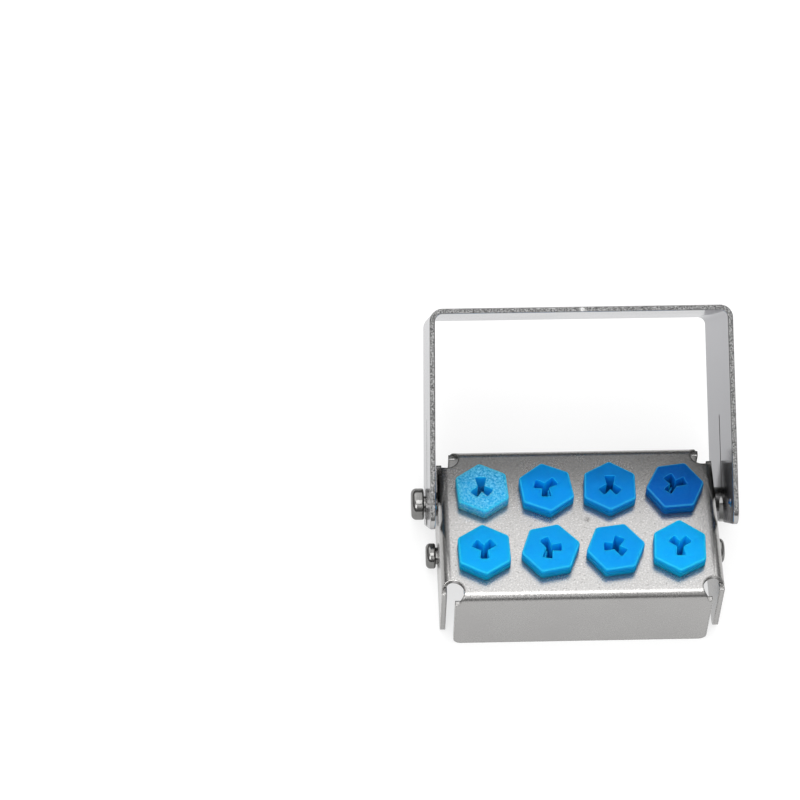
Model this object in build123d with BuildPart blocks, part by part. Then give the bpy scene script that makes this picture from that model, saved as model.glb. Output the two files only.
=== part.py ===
from build123d import *
import math
import os

os.makedirs("parts", exist_ok=True)

# A bur block: a folded stainless tray with eight silicone plugs, under a folded cover that swings back.
# X runs along the rows of plugs, Y from front to back and Z up. The origin is on the surface that the
# block stands on, under the middle of its plate. Lengths are in millimetres and angles in degrees.

# The gauge of both sheets, and the rounding of the cover's cut edges
sheet = 1.0
edge_round = 0.2

# The plate and its four folded flanges
plug_pitch = 12.0
row_pitch = 13.4
columns = 4
rows = 2
end_margin = 8.0
side_margin = 9.8
rows_forward = 0.4
base_height = 15.6
base_bend = 2.0
corner_gap_x = 2.4
corner_gap_y = 2.3
relief_radius = 2.15
flange_corner = 1.5

# The silicone plugs
hex_across_flats = 9.3
hex_corner = 0.8
upper_tier = 1.25
lower_tier = 0.95
ledge_groove = 0.2
ledge_depth = 0.22
top_round = 0.5
neck_radius = 3.6
neck_fit = 0.02
collar_radius = 4.0
collar_height = 1.6
foot_radius = 3.2
foot_clearance = 1.2
lobe_radius = 0.95
lobe_distance = 1.35
lobe_neck = 1.1
socket_floor = 1.5
front_turns = (32, 13, 71, 27)
back_turns = (94, 38, 88, 8)

# The cover
cover_inset = 0.6
cover_height = 40.0
cover_bend = 2.4
cover_lift = 1.0
arm_gap = 0.6
arm_splay = 0.5
arm_corner = 2.9
open_angle = 56.0

# The pivot, near the lower back corner of each arm
pivot_from_back = 4.8
pivot_up = 4.1
pivot_head_radius = 3.0
pivot_head_height = 2.4
pivot_outer_round = 1.0
pivot_neck_radius = 1.5
pivot_shoulder_radius = 2.3
pivot_running_fit = 0.06
shoulder_play = 0.12
head_play = 0.2

# The lock stud, and the notch and slit of the arm that springs over it
stud_forward = 10.5
stud_drop = 1.8
stud_head_radius = 2.4
stud_head_height = 1.85
stud_outer_round = 0.9
stud_neck_radius = 1.6
stud_neck_height = 0.35
inner_round = 0.4
notch_clearance = 0.3
notch_sweep = 40.0
slit_width = 0.8
slit_forward = 1.0
slit_height = 20.2

# Each rivet's shank goes through the flange and is peened over inside
shank_radius = 1.25
shank_fit = 0.02
peen_radius = 1.9
peen_height = 0.7
peen_round = 0.5

# A dimple near each arm's front corner keeps the arm off the flange
dimple_from_front = 4.3
dimple_up = 3.8
dimple_radius = 0.95
dimple_height = 0.35

# What follows from those sizes
base_width = (columns - 1) * plug_pitch + 2 * end_margin
base_depth = (rows - 1) * row_pitch + 2 * side_margin
cover_depth = base_depth - 2 * cover_inset
cover_top = cover_lift + cover_height
pivot_y = cover_depth / 2 - pivot_from_back
pivot_z = cover_lift + pivot_up
stud_y = pivot_y - stud_forward
stud_z = pivot_z - stud_drop
hinge_axis = Axis((0, pivot_y, pivot_z), (1, 0, 0))


def arm_inside(height):
    """Half the width between the closed cover's arms, at a height above the table."""
    return base_width / 2 + arm_gap + arm_splay * (cover_top - height) / cover_height


def folded_channel(plane, span, length):
    """An upturned channel: a flat top with a flange folded down at each end of its span."""
    middle = (span - sheet) / 2
    with BuildSketch(plane) as section:
        with BuildLine():
            FilletPolyline(
                (-middle, 0),
                (-middle, base_height - sheet / 2),
                (middle, base_height - sheet / 2),
                (middle, 0),
                radius=base_bend - sheet / 2,
            )
        trace(line_width=sheet)
    extrude(section.sketch, amount=length / 2, both=True)


def hex_tier(plane, across_flats, height):
    """One tier of a plug's head, with its corners rounded."""
    with BuildSketch(plane) as tier:
        RegularPolygon(across_flats / 2, 6, major_radius=False)
        fillet(tier.vertices(), hex_corner)
    extrude(tier.sketch, amount=height)


def make_plug(name, x, y, turn):
    """A silicone plug: a two-tiered hexagonal head, a neck through the plate, a collar and a tapered body."""
    head = Plane(origin=(x, y, base_height)).rotated((0, 0, turn))
    upright = Plane(origin=head.origin, x_dir=(1, 0, 0), z_dir=(0, -1, 0))
    head_height = lower_tier + ledge_groove + upper_tier
    foot = foot_clearance - base_height
    with BuildPart() as plug:
        hex_tier(head, hex_across_flats, lower_tier)
        hex_tier(head.offset(lower_tier), hex_across_flats - 2 * ledge_depth, ledge_groove)
        hex_tier(head.offset(lower_tier + ledge_groove), hex_across_flats, upper_tier)
        fillet(plug.faces().sort_by(Axis.Z)[-1].edges(), top_round)

        # Everything below the head is turned about the plug's axis
        with BuildSketch(upright):
            with BuildLine():
                Polyline(
                    (0, 0),
                    (neck_radius, 0),
                    (neck_radius, -sheet),
                    (collar_radius, -sheet),
                    (collar_radius, -sheet - collar_height),
                    (foot_radius, foot),
                    (0, foot),
                    close=True,
                )
            make_face()
        revolve(axis=Axis(head.origin, (0, 0, 1)))

        # The socket has three lobes. The walls between them are fingers that grip a shank in the middle.
        with BuildSketch(head.offset(head_height)):
            with PolarLocations(lobe_distance, 3):
                Circle(lobe_radius)
            with PolarLocations(lobe_distance / 2, 3):
                Rectangle(lobe_distance, lobe_neck)
        extrude(amount=foot + socket_floor - head_height, mode=Mode.SUBTRACT)
    plug.part.label = name
    return plug.part


def make_rivet(name, side, y, z, steps, outer_round):
    """A rivet on a side flange. Its steps are (radius, length) pairs outwards, and the last is its head."""
    seat = Plane(origin=(side * base_width / 2, y, z), x_dir=(0, 1, 0), z_dir=(side, 0, 0))
    outwards = Axis(seat.origin, seat.z_dir)
    with BuildPart() as rivet:
        with BuildSketch(seat.offset(-sheet)):
            Circle(peen_radius)
        extrude(amount=-peen_height)
        fillet(rivet.faces().sort_by(outwards)[0].edges(), peen_round)
        with BuildSketch(seat.offset(-sheet)):
            Circle(shank_radius)
        extrude(amount=sheet)
        reached = 0
        for radius, length in steps:
            with BuildSketch(seat.offset(reached)):
                Circle(radius)
            extrude(amount=length)
            reached += length
        head_radius = steps[-1][0]
        circles = rivet.edges().filter_by(GeomType.CIRCLE)
        head_rims = circles.filter_by(lambda edge: edge.radius == head_radius).sort_by(outwards)
        fillet(head_rims[-1], outer_round)
        fillet(head_rims[0], inner_round)
    rivet.part.label = name
    return rivet.part


def dimple_disc(face, thickness, mode):
    """A disc with one domed side, which stands a dimple's height out of a face and its rest behind it."""
    dome_radius = (dimple_radius**2 + dimple_height**2) / (2 * dimple_height)
    dome_angle = math.degrees(math.asin(dimple_radius / dome_radius))
    with BuildSketch(face) as half_profile:
        with BuildLine():
            CenterArc((dome_radius - dimple_height, 0), dome_radius, 180 - dome_angle, dome_angle)
            Polyline((-dimple_height, 0), (thickness, 0), (thickness, dimple_radius), (0, dimple_radius))
        make_face()
    revolve(half_profile.sketch, axis=Axis(face.origin, face.x_dir), mode=mode)


# The base is one folded sheet. Two crossed channels leave its corners open between the folds.
with BuildPart() as base_block:
    folded_channel(Plane.YZ, base_depth, base_width - 2 * corner_gap_x)
    folded_channel(Plane.XZ, base_width, base_depth - 2 * corner_gap_y)

    # Round reliefs where the folds meet
    with BuildSketch(Plane.XY.offset(base_height)):
        with GridLocations(base_width - 2 * base_bend, base_depth - 2 * base_bend, 2, 2):
            Circle(relief_radius)
    extrude(amount=-base_bend, mode=Mode.SUBTRACT)

    # The plugs' holes
    with BuildSketch(Plane.XY.offset(base_height)):
        with Locations((0, -rows_forward)):
            with GridLocations(plug_pitch, row_pitch, columns, rows):
                Circle(neck_radius + neck_fit)
    extrude(amount=-sheet, mode=Mode.SUBTRACT)

    # The rivets' holes, in line through both side flanges
    with BuildSketch(Plane.YZ):
        with Locations((pivot_y, pivot_z), (stud_y, stud_z)):
            Circle(shank_radius + shank_fit)
    extrude(amount=base_width / 2, both=True, mode=Mode.SUBTRACT)

    # The flanges' lower corners
    feet = base_block.edges().group_by(Axis.Z)[0]
    fillet(feet.filter_by(lambda edge: abs(edge.length - sheet) < 0.01), flange_corner)

base_block.part.label = "base_block"
export_step(base_block.part, "parts/base_block.step")

# The eight plugs, counted from the left in each row
row_names = ("front", "back")
row_turns = (front_turns, back_turns)
for row in range(rows):
    for column in range(columns):
        plug_name = f"plug_{row_names[row]}_{column + 1}"
        plug_x = (column - (columns - 1) / 2) * plug_pitch
        plug_y = (row - (rows - 1) / 2) * row_pitch - rows_forward
        plug_part = make_plug(plug_name, plug_x, plug_y, row_turns[row][column])
        export_step(plug_part, f"parts/{plug_name}.step")

# The rivets on both sides
pivot_steps = [
    (pivot_shoulder_radius, arm_inside(pivot_z) - base_width / 2 - shoulder_play),
    (pivot_neck_radius, shoulder_play + sheet + head_play),
    (pivot_head_radius, pivot_head_height),
]
stud_steps = [(stud_neck_radius, stud_neck_height), (stud_head_radius, stud_head_height)]
for side_name, side in (("left", -1), ("right", 1)):
    pivot_name = f"pivot_rivet_{side_name}"
    pivot_part = make_rivet(pivot_name, side, pivot_y, pivot_z, pivot_steps, pivot_outer_round)
    export_step(pivot_part, f"parts/{pivot_name}.step")
    stud_name = f"lock_stud_{side_name}"
    stud_part = make_rivet(stud_name, side, stud_y, stud_z, stud_steps, stud_outer_round)
    export_step(stud_part, f"parts/{stud_name}.step")

# The cover is one folded sheet too, drawn here as it stands when it is closed
with BuildPart() as cover:
    crown = arm_inside(cover_top) + sheet / 2
    ankle = arm_inside(0) + sheet / 2
    with BuildSketch(Plane.XZ):
        with BuildLine():
            FilletPolyline(
                (-ankle, 0),
                (-crown, cover_top - sheet / 2),
                (crown, cover_top - sheet / 2),
                (ankle, 0),
                radius=cover_bend - sheet / 2,
            )
        trace(line_width=sheet)
    extrude(amount=cover_depth / 2, both=True)

    # Each arm ends above the table, with round corners
    with BuildSketch(Plane.YZ) as side_outline:
        with Locations((0, cover_lift)):
            Rectangle(cover_depth, cover_height, align=(Align.CENTER, Align.MIN))
        fillet(side_outline.vertices().group_by(Axis.Y)[0], arm_corner)
    extrude(amount=base_width, both=True, mode=Mode.INTERSECT)

    # The cut edges are eased. Those of the front face run on smoothly round the arms' ends and up the back.
    front_cut = cover.faces().sort_by(Axis.Y)[0]
    fillet(front_cut.edges().filter_by(lambda edge: edge.length > 2 * sheet), edge_round)

    # The pivot's hole, the notch that clears the lock stud as the cover swings, and the slit above it
    with BuildSketch(Plane.YZ):
        with Locations((pivot_y, pivot_z)):
            Circle(pivot_neck_radius + pivot_running_fit)
        stud_distance = math.hypot(stud_forward, stud_drop)
        stud_bearing = 180 + math.degrees(math.atan2(stud_drop, stud_forward))
        with BuildLine():
            CenterArc((pivot_y, pivot_z), stud_distance, stud_bearing, notch_sweep)
            offset(amount=stud_head_radius + notch_clearance, side=Side.BOTH)
        make_face()
        slit_end = cover_lift + slit_height - slit_width / 2
        with Locations((stud_y - slit_forward, (stud_z + slit_end) / 2)):
            SlotCenterToCenter(slit_end - stud_z, slit_width, rotation=90)
    extrude(amount=base_width, both=True, mode=Mode.SUBTRACT)

    # The dimples are pressed inwards, so each is a cap inside its arm and a matching hollow outside
    dimple_y = dimple_from_front - cover_depth / 2
    dimple_z = cover_lift + dimple_up
    for side in (-1, 1):
        inner_face = Plane((side * arm_inside(dimple_z), dimple_y, dimple_z), x_dir=(side, 0, 0), z_dir=(0, -1, 0))
        dimple_disc(inner_face, sheet / 2, Mode.ADD)
        dimple_disc(inner_face.move(Location((side * sheet, 0, 0))), sheet / 2, Mode.SUBTRACT)

# The block is shown with its cover swung back
open_cover = cover.part.rotate(hinge_axis, -open_angle)
open_cover.label = "cover"
export_step(open_cover, "parts/cover.step")
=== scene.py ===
# %% [markdown]
# # A bur block with its cover swung back
#
# A bur block keeps small dental drills upright while they are cleaned and used. This one is a folded steel
# tray with eight blue silicone plugs, and a second folded sheet that swings over it on two rivets. The steel
# sheets and rivets come from the CAD model as they are. What is made here is their finish, the soft plugs,
# the light and the camera.

# %% Set up
import math

import bmesh
import bpy
from mathutils import Matrix, Vector


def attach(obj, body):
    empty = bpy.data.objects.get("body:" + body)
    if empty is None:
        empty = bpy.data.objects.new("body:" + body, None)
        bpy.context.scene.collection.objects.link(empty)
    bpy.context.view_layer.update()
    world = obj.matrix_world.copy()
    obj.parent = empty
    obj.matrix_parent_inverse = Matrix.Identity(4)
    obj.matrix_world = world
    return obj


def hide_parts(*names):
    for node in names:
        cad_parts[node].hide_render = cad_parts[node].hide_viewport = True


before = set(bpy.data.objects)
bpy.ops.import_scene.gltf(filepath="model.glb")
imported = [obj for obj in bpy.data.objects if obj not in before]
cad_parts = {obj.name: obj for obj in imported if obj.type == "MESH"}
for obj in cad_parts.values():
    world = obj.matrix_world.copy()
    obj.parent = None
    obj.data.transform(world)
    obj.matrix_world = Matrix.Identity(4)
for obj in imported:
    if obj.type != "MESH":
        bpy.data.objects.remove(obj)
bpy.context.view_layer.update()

MM = 0.001

# %% [markdown]
# ## The camera
#
# A photograph can be matched by hand, by moving the camera until the corners agree, or by working the
# camera out from points whose real places are known. The second way was used here: the corners of the tray
# and of the cover gave a long lens, a little to the left of the middle and 55 degrees above the table. The
# turn about the line of sight comes from a camera that wasn't held quite level.

# %% Place the camera
PHOTO_SIZE = 800
FOCAL_PIXELS = 2971.2
SENSOR_WIDTH = 36
CAMERA_PLACE = (-48.785, -294.732, 479.787)
CAMERA_DOWN = 55.158
CAMERA_RIGHT = 2.908
CAMERA_ROLL = 1.469

bpy.ops.object.camera_add()
camera = bpy.context.object
camera.name = "photo_camera"
turn = Matrix.Rotation(math.radians(-CAMERA_RIGHT), 4, "Z")
tilt = Matrix.Rotation(math.radians(90 - CAMERA_DOWN), 4, "X")
roll = Matrix.Rotation(math.radians(CAMERA_ROLL), 4, "Z")
camera.matrix_world = Matrix.Translation(Vector(CAMERA_PLACE) * MM) @ turn @ tilt @ roll
camera.data.sensor_width = SENSOR_WIDTH
camera.data.lens = SENSOR_WIDTH * FOCAL_PIXELS / PHOTO_SIZE
camera.data.clip_start = 0.01
camera.data.clip_end = 20
bpy.context.scene.camera = camera
print("the lens is", round(camera.data.lens, 1), "mm long")

# %% [markdown]
# ## A small language for finishes
#
# A finish is a net of nodes. Nets are quick to draw by hand and slow to read, so the sums in them are
# written here as sums. `Sum` holds one output socket, and adding, subtracting or multiplying it makes the Math
# node that does so. `Finish` holds one material, and its `node` method makes every other kind of node.

# %% Sums of sockets
def math_node(operation, first, second):
    """A Math node on two inputs, each of them a number or a Sum."""
    tree = (first if isinstance(first, Sum) else second).socket.id_data
    node = tree.nodes.new("ShaderNodeMath")
    node.operation = operation
    for entry, value in zip(node.inputs, (first, second)):
        if isinstance(value, Sum):
            tree.links.new(value.socket, entry)
        else:
            entry.default_value = value
    return Sum(node.outputs[0])


class Sum:
    """An output socket that can be added, subtracted and multiplied."""

    def __init__(self, socket):
        self.socket = socket

    def __add__(self, other):
        return math_node("ADD", self, other)

    def __radd__(self, other):
        return math_node("ADD", other, self)

    def __sub__(self, other):
        return math_node("SUBTRACT", self, other)

    def __rsub__(self, other):
        return math_node("SUBTRACT", other, self)

    def __mul__(self, other):
        return math_node("MULTIPLY", self, other)

    def __rmul__(self, other):
        return math_node("MULTIPLY", other, self)


# %% Finishes
class Finish:
    """One material, or the light of the room, with short ways to make its nodes."""

    def __init__(self, name, maker=bpy.data.materials.new, ends_in="ShaderNodeOutputMaterial"):
        self.result = maker(name)
        self.result.use_nodes = True
        self.tree = self.result.node_tree
        self.tree.nodes.clear()
        self.ends_in = ends_in
        self.place = self.node("ShaderNodeTexCoord", out="Object")

    def node(self, kind, settings=None, out=0, **sockets):
        """A node of any kind. Settings come first, then values or links for its sockets by name."""
        node = self.tree.nodes.new(kind)
        for setting, value in (settings or {}).items():
            if setting == "stops":
                for stop, (position, grey) in zip(list(node.color_ramp.elements), value[:2]):
                    stop.position = position
                    stop.color = (grey, grey, grey, 1)
                for position, grey in value[2:]:
                    node.color_ramp.elements.new(position).color = (grey, grey, grey, 1)
            else:
                setattr(node, setting, value)
        for label, value in sockets.items():
            words = label.replace("_", " ")
            entry = node.inputs[int(words[1:])] if words[1:].isdigit() else node.inputs[words]
            if isinstance(value, Sum):
                self.tree.links.new(value.socket, entry)
            else:
                entry.default_value = value
        return Sum(node.outputs[out])

    def noise(self, size_mm, detail=2.0, place=None, rough=0.5):
        """Cloudy noise from 0 to 1 whose features are about one size across."""
        return self.node("ShaderNodeTexNoise", Vector=place or self.place, Scale=1 / (size_mm * MM),
                         Detail=detail, Roughness=rough)

    def steps(self, value, low, high):
        """0 below one value and 1 above another, and smooth between them. It falls if low is above high."""
        return self.node("ShaderNodeMapRange", {"interpolation_type": "SMOOTHSTEP"}, Value=value,
                         From_Min=low, From_Max=high)

    def blend(self, factor, first, second):
        """A colour between two colours."""
        return self.node("ShaderNodeMix", {"data_type": "RGBA"}, out=2, i0=factor, i6=first, i7=second)

    def spot(self, place, centre_mm, inner_mm, outer_mm):
        """1 at a place, and 0 further from it than the outer distance."""
        centre = tuple(c * MM for c in centre_mm)
        far = self.node("ShaderNodeVectorMath", {"operation": "DISTANCE"}, out="Value", i0=place, i1=centre)
        return self.steps(far, outer_mm * MM, inner_mm * MM)

    def bump(self, height, depth_mm, strength=1.0, under=None):
        """Normals from a height of 0 to 1 that stands for a depth."""
        links = {"Normal": under} if under else {}
        return self.node("ShaderNodeBump", Height=height, Distance=depth_mm * MM, Strength=strength, **links)

    def surface(self, **sockets):
        """Ends the net with a Principled shader, and gives back the material."""
        self.end(self.node("ShaderNodeBsdfPrincipled", **sockets))
        return self.result

    def end(self, shader):
        """Joins a shader to the output of the material or the room."""
        output = self.tree.nodes.new(self.ends_in)
        self.tree.links.new(shader.socket, output.inputs["Surface"])


# %% [markdown]
# ## Blasted steel for the tray
#
# The tray was folded, then blasted with fine beads. That leaves a grain of a few tenths of a millimetre that
# sparkles where single pits catch the light. A picture of steel could be laid over it, but noise has no seams
# and no end. Three layers make it: a fine one for the grain, a coarser one for the darker pits, and a wide one
# for the slow clouds that handling leaves. Between them they move colour, roughness and normals. The grain is
# coarse on the plate and nearly gone on the flanges, which the folding tool has rubbed, and one small
# scuff between the plugs is put in by its place.
#
# No cut edge is really sharp, and a rounded one draws a bright line. A Bevel node rounds the normals there,
# which is lighter than rounding the mesh, and keeps the CAD piece as it is. Where its normal leaves that of
# the face, the colour is painted bright, a painted highlight along the edge, and just beside that it is painted
# dark, a painted shade line.

# %% The tray's finish
CUT_EDGE = 0.45
SCUFF_PLACE = (1.5, 0.3, 15.6)


def blasted_steel():
    """Stainless steel with a blasted grain, rounded edges round every cut, and a painted highlight and shade
    line along them.
    """
    finish = Finish("blasted_steel")
    grain = finish.noise(0.34, 3, rough=0.6)
    pits = finish.noise(0.62, 2)
    clouds = finish.noise(9, 2)
    facing = finish.node("ShaderNodeNewGeometry", out="Normal")
    upward = finish.node("ShaderNodeSeparateXYZ", out=2, Vector=facing)
    coarse = 0.1 + 0.9 * finish.steps(upward, 0.1, 0.8)
    sparkle = finish.steps(grain, 0.58, 0.72) * coarse
    scuff = finish.spot(finish.place, SCUFF_PLACE, 0.3, 0.75) * finish.steps(grain, 0.40, 0.56)
    dark_pits = finish.steps(pits, 0.38, 0.27) * coarse + scuff * 2.2
    tone = 0.37 + (grain - 0.5) * coarse * 0.24 + (clouds - 0.5) * 0.04 + sparkle * 0.10 - dark_pits * 0.10
    rounded = finish.node("ShaderNodeBevel", {"samples": 6}, Radius=CUT_EDGE * MM)
    bend = 1 - finish.node("ShaderNodeVectorMath", {"operation": "DOT_PRODUCT"}, out="Value",
                           i0=rounded, i1=facing)
    # Painted shade: a dark line beside each rounded edge. Painted highlight: a bright line on the edge itself.
    painted_edge_shade = finish.steps(bend, 0.004, 0.03) * finish.steps(bend, 0.14, 0.06)
    painted_edge_highlight = finish.steps(bend, 0.10, 0.20)
    tone = tone * (1 - painted_edge_shade * 0.6) + painted_edge_highlight * 0.35
    base = finish.node("ShaderNodeCombineColor", Red=tone * 1.015, Green=tone, Blue=tone * 0.985)
    rough = 0.26 + (grain - 0.5) * 0.14 + (clouds - 0.5) * 0.06 - sparkle * 0.06
    normal = finish.bump(grain * coarse, 0.018, 0.6, finish.bump(pits * coarse, 0.020, 0.4, rounded))
    return finish.surface(Base_Color=base, Metallic=1.0, Roughness=rough, Normal=normal)


tray_steel = blasted_steel()
print("the tray's finish has", len(tray_steel.node_tree.nodes), "nodes")

# %% [markdown]
# ## Rolled steel for the cover
#
# The cover keeps the smooth face that the steel was rolled with. Its front and back edges were sheared, and
# shearing tears the steel, so they are speckled dark and bright. The pattern has to know where those edges are,
# and they lie at an angle here, so a Mapping node first turns each place about the hinge to where it is with
# the cover closed. There the edges are simply the places furthest from the middle. The tint of the gloss keeps
# the arms grey where they are seen from the side.

# %% The cover's finish
HINGE_Y = 11.1
HINGE_Z = 5.1
SWUNG_BACK = 56
COVER_HALF_DEPTH = 15.9
NICK_PLACE = (0.2, -COVER_HALF_DEPTH, 40.5)


def rolled_steel():
    """Smooth stainless steel with a faint grain, and torn and speckled on the sheared edges."""
    finish = Finish("rolled_steel")
    hinge = (0, HINGE_Y * MM, HINGE_Z * MM)
    centred = finish.node("ShaderNodeVectorMath", {"operation": "SUBTRACT"}, i0=finish.place, i1=hinge)
    turned = finish.node("ShaderNodeMapping", Vector=centred, Rotation=(math.radians(SWUNG_BACK), 0, 0))
    closed = finish.node("ShaderNodeVectorMath", {"operation": "ADD"}, i0=turned, i1=hinge)
    depth = finish.node("ShaderNodeSeparateXYZ", out=1, Vector=closed)
    off_middle = finish.node("ShaderNodeMath", {"operation": "ABSOLUTE"}, i0=depth)
    edge = finish.steps(off_middle, (COVER_HALF_DEPTH - 0.05) * MM, (COVER_HALF_DEPTH - 0.005) * MM)
    grain = finish.noise(0.3, 3)
    torn = finish.steps(finish.noise(0.27, 3, rough=0.65), 0.34, 0.66)
    clouds = finish.noise(12, 2)
    tone = 0.43 + (clouds - 0.5) * 0.05 + (grain - 0.5) * 0.04
    nick = finish.spot(closed, NICK_PLACE, 0.25, 0.5)
    torn_tone = 0.06 + torn * 0.32 + nick * 0.35
    both = tone + (torn_tone - tone) * edge
    base = finish.node("ShaderNodeCombineColor", Red=both, Green=both, Blue=both * 0.995)
    rough = 0.15 + (grain - 0.5) * 0.05 + (clouds - 0.5) * 0.05
    rough = rough + (0.40 - rough) * edge
    normal = finish.bump(torn * edge, 0.05, 0.8, finish.bump(grain, 0.004, 0.3))
    return finish.surface(Base_Color=base, Metallic=1.0, Roughness=rough, Normal=normal,
                          Specular_Tint=(0.62, 0.62, 0.64, 1))


cover_steel = rolled_steel()
print("the cover's finish has", len(cover_steel.node_tree.nodes), "nodes")

# %% [markdown]
# ## Turned steel for the rivets
#
# Rivets and studs are turned on a lathe and tumbled bright. Bright steel is dark wherever the room is dark, so
# their colour is low and the lamps draw small sharp lights on it. Fingers dull it in patches, which one wide
# noise gives, and that is simpler than painting each head.

# %% The rivets' finish
def turned_steel():
    """Bright steel for the rivets, dulled in patches by handling."""
    finish = Finish("turned_steel")
    wear = finish.noise(1.2, 3)
    grain = finish.noise(0.2, 2)
    tone = 0.22 + (wear - 0.5) * 0.14
    base = finish.node("ShaderNodeCombineColor", Red=tone, Green=tone * 0.99, Blue=tone * 0.97)
    rough = 0.16 + (wear - 0.5) * 0.12
    return finish.surface(Base_Color=base, Metallic=1.0, Roughness=rough, Normal=finish.bump(grain, 0.004, 0.4),
                          Specular_Tint=(0.7, 0.7, 0.7, 1))


rivet_steel = turned_steel()
print("the rivets' finish has", len(rivet_steel.node_tree.nodes), "nodes")

# %% [markdown]
# ## Silicone for the plugs
#
# Silicone is soft, slightly see-through and dull. Light goes a little way in and comes out again, blue
# further than red. Plain blue paint would look hard, so a Subsurface share lights up the sockets and the thin
# edges. Rounded rims are painted paler, a painted highlight, and they are found by the slope of the surface.
# The walls of a socket are painted paler too, painted light. The back of each plug is painted deeper in colour,
# a painted shade, most of all in the back row, and one plug of the eight is frosted all over its top.

# %% The plugs' finish
FROSTED_BY = (0.24, 0.40, 0.24)
# Added to the colour of the rounded rims: a painted highlight.
RIM_HIGHLIGHT_BY = (0.03, 0.19, 0.17)
# Multiplies the colour of the socket walls: painted light.
WALLS_LIT_BY = (1.5, 1.15, 1.1)
SOCKET_HEIGHT = 16.6


def plus(colour, gains):
    """A colour with a gain added to its red, green and blue, and with full alpha."""
    return (*(min(1.0, part + gain) for part, gain in zip(colour, gains)), 1)


def times(colour, gains):
    """A colour with its red, green and blue multiplied, and with full alpha."""
    return (*(min(1.0, part * gain) for part, gain in zip(colour, gains)), 1)


def silicone(name, place, colour, shade, frost):
    """Blue silicone with a fine grain, a painted highlight on its rims, painted light in its socket, painted
    shade on its back, and frost where a plug has it.
    """
    finish = Finish(name)
    grain = finish.noise(0.35, 3)
    clouds = finish.noise(4.5, 2)
    specks = finish.steps(finish.noise(0.42, 4, rough=0.75), 0.36, 0.70)
    facing = finish.node("ShaderNodeNewGeometry", out="Normal")
    slope = finish.node("ShaderNodeSeparateXYZ", out=2, Vector=facing)
    # Painted highlight: rounded rims, found by their slope, are made paler.
    painted_rim_highlight = finish.steps(slope, 0.30, 0.62) * finish.steps(slope, 0.985, 0.86)
    socket_place = (place[0] / MM, place[1] / MM, SOCKET_HEIGHT)
    # Painted light: the walls of the socket are made paler.
    wall = finish.spot(finish.place, socket_place, 2.7, 3.2) * finish.steps(slope, 0.8, 0.4)
    # Painted shade: the colour darkens towards the back of the plug, mixed with a random cloudy tone of the
    # silicone's own.
    front = finish.steps(finish.node("ShaderNodeSeparateXYZ", out=1, Vector=finish.place),
                         place[1] + 4 * MM, place[1] - 4 * MM)
    painted_shade_colour = times(colour, (shade, shade, shade))
    base = finish.blend(finish.steps(clouds * 0.4 + front * 0.8, 0.1, 0.9), painted_shade_colour, (*colour, 1))
    base = finish.blend(specks * (0.02 + frost), base, plus(colour, FROSTED_BY))
    base = finish.blend(painted_rim_highlight * (0.45 + grain * 0.5), base, plus(colour, RIM_HIGHLIGHT_BY))
    base = finish.blend(wall, base, times(colour, WALLS_LIT_BY))
    rough = 0.46 + (grain - 0.5) * 0.2 + specks * 0.1
    return finish.surface(Base_Color=base, Roughness=rough, Normal=finish.bump(grain, 0.012, 0.3),
                          Subsurface_Weight=0.8, Subsurface_Radius=(0.3, 0.8, 1.0), Subsurface_Scale=0.004,
                          Specular_IOR_Level=0.06, IOR=1.41)


# %% [markdown]
# ## A soft plug
#
# Each plug is one silicone moulding: a hexagonal head in two tiers with a narrow groove between them, a neck
# that snaps through the plate, and a collar and body below. The head could be a subdivided cage, but its
# flats are really flat, so it starts as a six-sided cylinder. Its corners are bevelled, and each tier is an
# inset, a raise and a widening of the face before it. The body is a second cylinder, narrowed step by step.

# %% Sizes of a plug
ACROSS_FLATS = 9.3 * MM
CORNER_ROUND = 0.8 * MM
LOWER_TIER = 0.95 * MM
GROOVE = 0.2 * MM
GROOVE_DEPTH = 0.22 * MM
UPPER_TIER = 1.25 * MM
RIM_ROUND = 0.5 * MM
HEAD = LOWER_TIER + GROOVE + UPPER_TIER
PLATE_TOP = 15.6 * MM
SHEET = 1.0 * MM
NECK_RADIUS = 3.6 * MM
COLLAR_RADIUS = 4.0 * MM
COLLAR = 1.6 * MM
FOOT_RADIUS = 3.2 * MM
FOOT_ROUND = 0.3 * MM
FOOT = 1.2 * MM - PLATE_TOP
print("a plug is", round((HEAD - FOOT) / MM, 1), "mm tall, and its foot hangs clear of the table")


# %% Picking faces and edges
def pick(piece, kind, wanted):
    """Selects the corners, edges or faces of a piece in edit mode that pass a test."""
    bpy.ops.mesh.select_mode(type=kind)
    bpy.ops.mesh.select_all(action="DESELECT")
    mesh = bmesh.from_edit_mesh(piece.data)
    for item in {"VERT": mesh.verts, "EDGE": mesh.edges, "FACE": mesh.faces}[kind]:
        if wanted(item):
            item.select_set(True)
    bmesh.update_edit_mesh(piece.data)


def level(item, height):
    """True if all corners of a face or edge lie at one height."""
    return all(abs(corner.co.z - height) < 1e-6 for corner in item.verts)


def raise_face(rise, widen=1.0):
    """Extrudes what is selected upwards, and widens or narrows the new face. With no rise it is an inset."""
    bpy.ops.mesh.extrude_region_move(TRANSFORM_OT_translate={"value": (0, 0, rise)})
    bpy.ops.transform.resize(value=(widen, widen, 1), center_override=(0, 0, 0))


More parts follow.
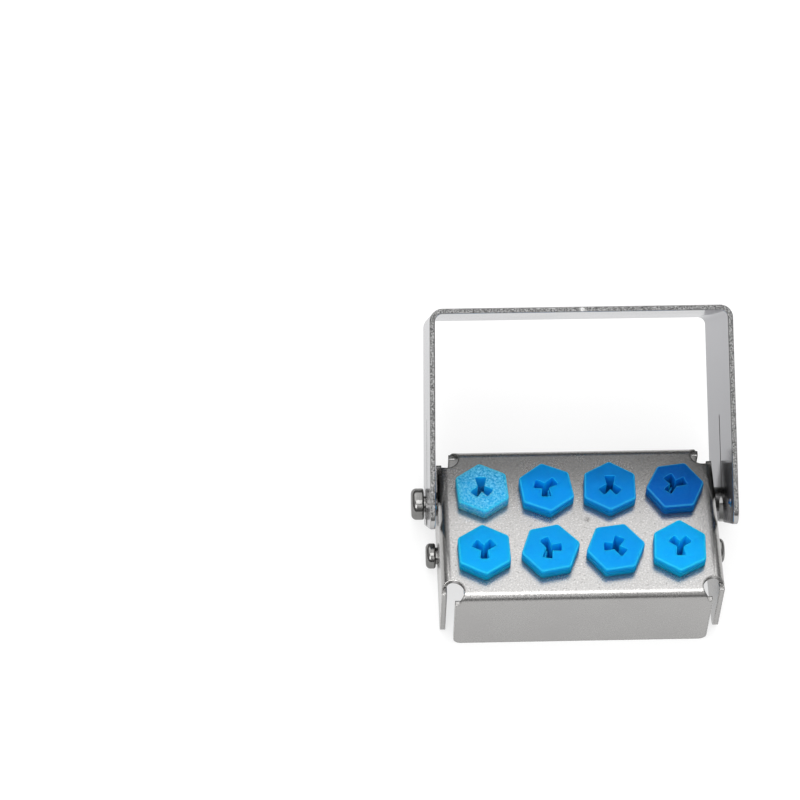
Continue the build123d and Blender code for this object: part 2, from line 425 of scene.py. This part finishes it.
# %% Model the head
def hexagonal_head():
    """A two-tiered hexagonal head that stands on height 0, with a corner at angle 0."""
    bpy.ops.object.select_all(action="DESELECT")
    bpy.ops.mesh.primitive_cylinder_add(
        vertices=6, radius=ACROSS_FLATS / 2 / math.cos(math.pi / 6), depth=LOWER_TIER,
        location=(0, 0, LOWER_TIER / 2), rotation=(0, 0, math.radians(30)))
    head = bpy.context.object
    bpy.ops.object.transform_apply(location=True, rotation=True, scale=True)
    bpy.ops.object.mode_set(mode="EDIT")
    pick(head, "EDGE", lambda edge: abs(edge.verts[0].co.z - edge.verts[1].co.z) > LOWER_TIER / 2)
    bpy.ops.mesh.bevel(offset=CORNER_ROUND * math.tan(math.radians(30)), segments=6, affect="EDGES")
    pick(head, "FACE", lambda face: level(face, LOWER_TIER))
    narrow = 1 - 2 * GROOVE_DEPTH / ACROSS_FLATS
    raise_face(0, narrow)
    raise_face(GROOVE)
    raise_face(0, 1 / narrow)
    raise_face(UPPER_TIER)
    pick(head, "EDGE", lambda edge: level(edge, HEAD))
    bpy.ops.mesh.bevel(offset=RIM_ROUND, segments=5, affect="EDGES")
    bpy.ops.object.mode_set(mode="OBJECT")
    return head


# %% Model the body
def plug_body():
    """The neck, collar and tapered body, from inside the head down to the foot."""
    bpy.ops.object.select_all(action="DESELECT")
    top = LOWER_TIER / 2
    bpy.ops.mesh.primitive_cylinder_add(vertices=48, radius=NECK_RADIUS, depth=top + SHEET,
                                        location=(0, 0, (top - SHEET) / 2))
    body = bpy.context.object
    bpy.ops.object.transform_apply(location=True, rotation=True, scale=True)
    bpy.ops.object.mode_set(mode="EDIT")
    pick(body, "FACE", lambda face: level(face, -SHEET))
    raise_face(0, COLLAR_RADIUS / NECK_RADIUS)
    raise_face(-COLLAR)
    raise_face(FOOT + SHEET + COLLAR, FOOT_RADIUS / COLLAR_RADIUS)
    pick(body, "EDGE", lambda edge: level(edge, FOOT) or level(edge, -SHEET - COLLAR))
    bpy.ops.mesh.bevel(offset=FOOT_ROUND, segments=3, affect="EDGES")
    bpy.ops.object.mode_set(mode="OBJECT")
    return body


def combine(piece, other, operation):
    """Adds a second closed shape to a piece, or cuts it out, and removes the second shape."""
    bpy.ops.object.select_all(action="DESELECT")
    bpy.context.view_layer.objects.active = piece
    piece.select_set(True)
    cut = piece.modifiers.new("combine", "BOOLEAN")
    cut.object = other
    cut.operation = operation
    cut.solver = "EXACT"
    cut.use_self = True
    bpy.ops.object.modifier_apply(modifier=cut.name)
    bpy.data.objects.remove(other)


def copy_of(piece):
    """A copy of a piece with its own mesh."""
    twin = piece.copy()
    twin.data = piece.data.copy()
    bpy.context.collection.objects.link(twin)
    return twin


plain_head = hexagonal_head()
plain_body = plug_body()
print("a head has", len(plain_head.data.vertices), "corners and a body", len(plain_body.data.vertices))

# %% [markdown]
# ## The sockets
#
# A mould pin with three flaring lobes leaves the socket, and the walls between the lobes are soft fingers
# that hold a shank. Silicone tears and shrinks a little when it comes off the pin, so no two sockets are
# alike, and some keep a thin web in one lobe. The pin is made from one box per lobe, whose outer end is
# widened and rounded, and then cut out of the plug.

# %% Model a mould pin
LOBE_REACH = 2.25 * MM
LOBE_NECK = 1.1 * MM
LOBE_END = 1.95 * MM
LOBE_ROUND = 0.35 * MM
SOCKET_FLOOR = FOOT + 1.5 * MM


def mould_pin(lobes):
    """A pin with three lobes. Each lobe has its own width and length, and an angle that it strays by."""
    bpy.ops.object.select_all(action="DESELECT")
    height = HEAD + 1 * MM - SOCKET_FLOOR
    middle = SOCKET_FLOOR + height / 2
    boxes = []
    for number, (width, length, astray) in enumerate(lobes):
        reach = LOBE_REACH * length
        bpy.ops.mesh.primitive_cube_add(size=1, location=(reach / 2, 0, middle),
                                        scale=(reach, LOBE_NECK, height))
        box = bpy.context.object
        bpy.ops.object.transform_apply(location=True, rotation=True, scale=True)
        bpy.ops.object.mode_set(mode="EDIT")
        pick(box, "FACE", lambda face: face.normal.x > 0.9)
        bpy.ops.transform.resize(value=(1, width * LOBE_END / LOBE_NECK, 1), center_override=(reach, 0, middle))
        pick(box, "EDGE", lambda edge: all(corner.co.x > reach / 2 for corner in edge.verts)
             and edge.verts[0].co.z * edge.verts[1].co.z < 0)
        bpy.ops.mesh.bevel(offset=LOBE_ROUND, segments=4, affect="EDGES")
        bpy.ops.object.mode_set(mode="OBJECT")
        box.rotation_euler = (0, 0, math.radians(120 * number + astray))
        bpy.ops.object.transform_apply(location=True, rotation=True, scale=True)
        bpy.ops.object.select_all(action="DESELECT")
        boxes.append(box)
    for box in boxes:
        box.select_set(True)
    bpy.ops.object.join()
    return bpy.context.object


print("a socket is", round((HEAD - SOCKET_FLOOR) / MM, 1), "mm deep")

# %% Leave a web
WEB_MIDDLE = 1.7 * MM
WEB_LENGTH = 1.9 * MM
WEB_THICKNESS = 0.2 * MM
WEB_HEIGHT = 2.0 * MM
WEB_SINK = 1.35 * MM


def thin_web(number, aside):
    """A thin wall of silicone along one lobe, a little to one side of its middle, and below the top."""
    bpy.ops.object.select_all(action="DESELECT")
    bpy.ops.mesh.primitive_cube_add(size=1, location=(WEB_MIDDLE, aside * MM, HEAD - WEB_SINK),
                                    scale=(WEB_LENGTH, WEB_THICKNESS, WEB_HEIGHT))
    web = bpy.context.object
    bpy.ops.object.transform_apply(location=True, rotation=True, scale=True)
    web.rotation_euler = (0, 0, math.radians(120 * number))
    bpy.ops.object.transform_apply(location=True, rotation=True, scale=True)
    return web


# %% Make a plug of its own shape
CORNER_ZONE = 4 * MM
MOUTH_ZONE = 3.6 * MM
MOUTH_ROUND = 0.1 * MM
EVEN_PULLS = (0.1, 0.1, 0.1, 0.1, 0.1, 0.1)


def soft_plug(name, place, turn, lobes, shift=(0, 0), pulls=EVEN_PULLS, web=None):
    """A plug with its own corners and socket, turned and put in its hole."""
    away = Matrix.Rotation(math.radians(-turn), 3, "Z") @ Vector((*shift, 0)) * MM
    plug = copy_of(plain_head)
    plug.name = name
    bpy.ops.object.select_all(action="DESELECT")
    bpy.context.view_layer.objects.active = plug
    plug.select_set(True)
    bpy.ops.object.mode_set(mode="EDIT")
    for number, pull in enumerate(pulls):
        corner = Vector((math.cos(math.radians(60 * number)), math.sin(math.radians(60 * number)), 0))
        pick(plug, "VERT", lambda point: point.co.dot(corner) > CORNER_ZONE)
        bpy.ops.transform.translate(value=corner * pull * MM)
    bpy.ops.mesh.select_all(action="SELECT")
    bpy.ops.transform.translate(value=away)
    bpy.ops.object.mode_set(mode="OBJECT")
    combine(plug, copy_of(plain_body), "UNION")
    combine(plug, mould_pin(lobes), "DIFFERENCE")
    if web:
        combine(plug, thin_web(*web), "UNION")
    bpy.ops.object.mode_set(mode="EDIT")
    pick(plug, "EDGE", lambda edge: level(edge, HEAD) and edge.calc_face_angle(0) > 1
         and max(corner.co.xy.length for corner in edge.verts) < MOUTH_ZONE)
    bpy.ops.mesh.bevel(offset=MOUTH_ROUND, segments=3, affect="EDGES", clamp_overlap=True)
    bpy.ops.object.mode_set(mode="OBJECT")
    plug.rotation_euler = (0, 0, math.radians(turn))
    plug.location = (*place, PLATE_TOP)
    bpy.ops.object.transform_apply(location=True, rotation=True, scale=True)
    bpy.ops.object.shade_smooth_by_angle(angle=math.radians(35))
    return plug


# %% [markdown]
# ## Eight plugs
#
# Each plug has its own entry here: how far it is turned, the three lobes of its socket, how far its head has
# shifted over the hole, how far each corner of the hexagon is pulled out or in, and a web if it kept one. One
# plug could be copied eight times, but no two real ones are alike, and the eye sees that at once. Each has its
# own blue too, with painted light and shade in it: the front row is painted paler, as if lit from the open
# side, and the back row is painted darker towards its right end, in the shade of the cover and its arm, so its
# last plug is the darkest.

# %% Choose the plugs
PITCH = 12.0 * MM
ROWS = {"front": -7.1 * MM, "back": 6.3 * MM}
PLUGS = {
    "front_1": dict(turn=32, lobes=((1, 1, 7), (1, 1, -7), (0.9, 0.95, -2))),
    "front_2": dict(turn=11, lobes=((0.9, 1, -8), (0.95, 1, -14), (1, 1, 5)), shift=(0.1, 0),
                    pulls=(0.35, 0.15, 0.1, 0.1, 0.1, 0.1), web=(2, -0.35)),
    "front_3": dict(turn=68, lobes=((1.05, 1, -6), (1, 0.9, -10), (1, 1, 12)), shift=(0.1, 0),
                    pulls=(0.1, 0.1, 0.1, 0.1, 0.1, 0.25)),
    "front_4": dict(turn=27, lobes=((0.9, 1, 14), (0.9, 1, -12), (0.9, 0.95, 3)),
                    pulls=(0.1, 0.4, 0.15, 0.2, 0.1, 0.1)),
    "back_1": dict(turn=94, lobes=((1.1, 1, -4), (0.9, 0.95, 14), (0.95, 0.95, -12)), shift=(0.2, 0)),
    "back_2": dict(turn=37, lobes=((1, 1, -4), (1, 0.95, 5), (1, 1, -6)), shift=(0.1, -0.1),
                   pulls=(0.1, 0.1, 0.1, 0.1, 0.1, 0.25), web=(2, 0.35)),
    "back_3": dict(turn=88, lobes=((1.1, 0.95, 0), (0.9, 1, 12), (0.9, 1, -12)),
                   pulls=(0.1, 0.1, 0.25, 0.1, 0.15, 0.1)),
    "back_4": dict(turn=5, lobes=((0.95, 1, 14), (1, 1, -4), (0.9, 0.95, -16)), shift=(0.1, -0.1),
                   pulls=(0.2, 0.1, -0.15, 0.1, 0.15, 0.2), web=(2, -0.3)),
}
# Each plug's own blue, with painted light and shade in it: the back row is darker towards the right.
BLUES_AND_PAINTED_SHADE = {
    "front_1": (0.002, 0.35, 0.79), "front_2": (0.002, 0.32, 0.76),
    "front_3": (0.001, 0.30, 0.75), "front_4": (0.002, 0.36, 0.82),
    "back_1": (0.006, 0.34, 0.74), "back_2": (0.001, 0.28, 0.76),
    "back_3": (0.001, 0.22, 0.63), "back_4": (0.001, 0.11, 0.43),
}
# How dark the painted shade makes the back of a plug, row by row.
SHADES = {"front": 0.92, "back": 0.72}
FROSTS = {"back_1": 0.75}
print("there are", len(PLUGS), "plugs, and", sum("web" in shape for shape in PLUGS.values()), "keep a web")

# %% Place the plugs
for key, shape in PLUGS.items():
    row, number = key.split("_")
    place = ((int(number) - 2.5) * PITCH, ROWS[row])
    plug = soft_plug("soft_plug_" + key, place, **shape)
    plug.data.materials.clear()
    finish = silicone("silicone_" + key, place, BLUES_AND_PAINTED_SHADE[key], SHADES[row], FROSTS.get(key, 0.0))
    plug.data.materials.append(finish)
    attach(plug, "base")
    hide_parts("plug_" + key)
bpy.data.objects.remove(plain_head)
bpy.data.objects.remove(plain_body)
print("the last plug has", len(plug.data.polygons), "faces")

# %% [markdown]
# ## Steel on the CAD pieces
#
# The sheets, rivets and studs are already right in shape, so they stay the CAD's own meshes. Their materials
# are taken off and the three steels put on. The solids of the plugs are hidden by now, and they are skipped.

# %% Put the steel on
steel_of = {"base_block": tray_steel, "cover": cover_steel}
for name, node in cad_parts.items():
    if not node.hide_render:
        node.data.materials.clear()
        node.data.materials.append(steel_of.get(name, rivet_steel))
        print(name, "is in", node.data.materials[0].name)

# %% [markdown]
# ## Table and light
#
# The block stands on a plain white table that fills the picture. White paint would throw so much light back
# that the steel turned pale, so the paint is grey and takes the block's shadow, and a glow on top of it, which
# only the camera, the steel and clear things see, makes it white. The light is a wide soft lamp above and
# behind, a smaller one overhead, and a low one in front, in a room that is dim at table height and paler above.
# Steel shows what is round it, so the wide lamp is what makes the front of the plate pale, and the dim part of
# the room what keeps the edges dark.

# %% The table
TABLE_SIZE = 8
TABLE_GREY = 0.30
TABLE_GLOW = 0.73

bpy.ops.object.select_all(action="DESELECT")
bpy.ops.mesh.primitive_plane_add(size=TABLE_SIZE)
table = bpy.context.object
table.name = "table"
table_finish = Finish("white_table")
seen = table_finish.node("ShaderNodeLightPath", out="Is Camera Ray")
seen_in_steel = table_finish.node("ShaderNodeLightPath", out="Is Glossy Ray")
seen_through = table_finish.node("ShaderNodeLightPath", out="Is Transmission Ray")
strength = (seen + seen_in_steel + seen_through) * TABLE_GLOW
table_glow = table_finish.node("ShaderNodeEmission", Color=(1, 1, 1, 1), Strength=strength)
table_paint = table_finish.node("ShaderNodeBsdfDiffuse", Color=(TABLE_GREY, TABLE_GREY, TABLE_GREY, 1))
table_finish.end(table_finish.node("ShaderNodeAddShader", i0=table_paint, i1=table_glow))
table.data.materials.append(table_finish.result)
print("the table is", TABLE_SIZE, "m across")


# %% The lamps
def soft_lamp(name, place, size, brightness):
    """A square soft lamp that points at the block. Its brightness is that of its own face."""
    bpy.ops.object.light_add(type="AREA")
    lamp = bpy.context.object
    lamp.name = name
    lamp.data.size = size
    lamp.data.energy = brightness * math.pi * size**2
    lamp.location = place
    lamp.rotation_mode = "QUATERNION"
    lamp.rotation_quaternion = (Vector((0, 0, 0.01)) - Vector(place)).to_track_quat("-Z", "Y")
    return lamp


lamps = [
    soft_lamp("lamp_wide", (0.0, 0.45, 1.0), 1.6, 1.38),
    soft_lamp("lamp_overhead", (0.0, -0.30, 1.0), 0.45, 3.8),
    soft_lamp("lamp_low", (-0.35, -0.95, 0.85), 0.6, 3.8),
]
print("the lamps give", [round(lamp.data.energy, 1) for lamp in lamps], "W")

# %% The room
ROOM_DIM = 0.16
ROOM_GAIN = 0.40

room = Finish("room", bpy.data.worlds.new, "ShaderNodeOutputWorld")
direction = room.node("ShaderNodeTexCoord", out="Generated")
height = room.node("ShaderNodeSeparateXYZ", out=2, Vector=direction)
brightness = ROOM_DIM + room.steps(height, 0.05, 0.75) * ROOM_GAIN
room.end(room.node("ShaderNodeBackground", Color=(1, 1, 1, 1), Strength=brightness))
bpy.context.scene.world = room.result
bpy.context.scene.view_settings.view_transform = "Standard"
print("the room shines from", ROOM_DIM, "at table height to", ROOM_DIM + ROOM_GAIN, "overhead")
